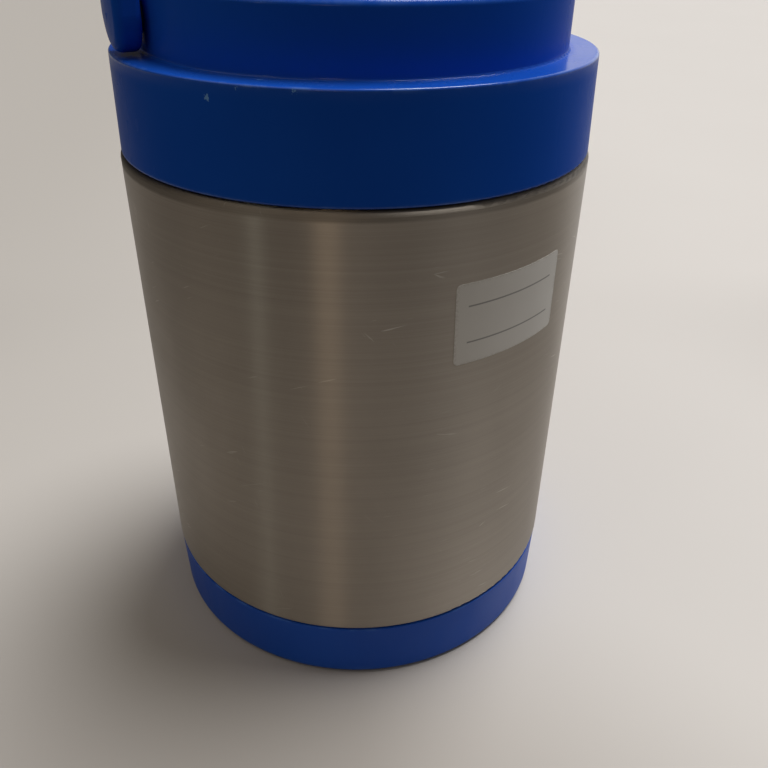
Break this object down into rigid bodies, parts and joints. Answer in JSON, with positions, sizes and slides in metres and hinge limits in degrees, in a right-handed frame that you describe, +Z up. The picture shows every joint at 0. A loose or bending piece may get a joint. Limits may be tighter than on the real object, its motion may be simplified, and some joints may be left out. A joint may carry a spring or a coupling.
{
  "type": "insulated food jar",
  "caption": "Upright insulated steel lunch jar with a screw lid, an insulated stopper and a carrying handle that swings over the lid.",
  "frame": {"origin": "centre of the ring the jar stands on", "axes": "+Z up along the jar's axis, +X along the handle's pins, handle upright in the XZ plane"},
  "size_m": [0.12, 0.12, 0.2309],
  "materials": {
    "shell_steel": "stainless steel, finely brushed round the body",
    "liner_steel": "stainless steel, satin",
    "solder": "dull solder",
    "getter_metal": "sintered metal",
    "pad_foam": "closed-cell foam",
    "blue_base": "satin blue moulded plastic",
    "blue_lid": "semi-gloss blue moulded plastic",
    "stopper_plastic": "pale grey moulded plastic",
    "seal_rubber": "clear white silicone",
    "pin_steel": "bright drawn steel",
    "washer_plastic": "dark nylon",
    "sticker_paper": "plain white shop label"
  },
  "bodies": {
    "jar": {"outer_shell": "shell_steel", "inner_liner": "liner_steel", "bottom_plate": "liner_steel", "seal_button": "solder", "getter": "getter_metal", "base_pad": "pad_foam", "base_cap": "blue_base"},
    "stopper": {"stopper_dish": "stopper_plastic", "stopper_foam": "pad_foam", "stopper_cover": "stopper_plastic", "sealing_ring": "seal_rubber"},
    "lid": {"lid_cap": "blue_lid", "thread_collar": "blue_lid", "pin_left": "pin_steel", "pin_right": "pin_steel", "washer_left": "washer_plastic", "washer_right": "washer_plastic"},
    "handle": {"handle": "blue_lid"}
  },
  "joints": [
    {"name": "lid_lift", "type": "slide", "parent": "jar", "child": "stopper", "axis": [0, 0, 1], "range_m": [0, 0.03]},
    {"name": "lid_turn", "type": "hinge", "parent": "stopper", "child": "lid", "pos_m": [0, 0, 0.15], "axis": [0, 0, 1], "range_deg": [0, 720]},
    {"name": "handle_swing", "type": "hinge", "parent": "lid", "child": "handle", "pos_m": [0, 0, 0.1719], "axis": [1, 0, 0], "range_deg": [-90, 90]}
  ],
  "couplings": [
    {"joint": "lid_lift", "follows": "lid_turn", "m_per_rad": 0.0023873}
  ]
}
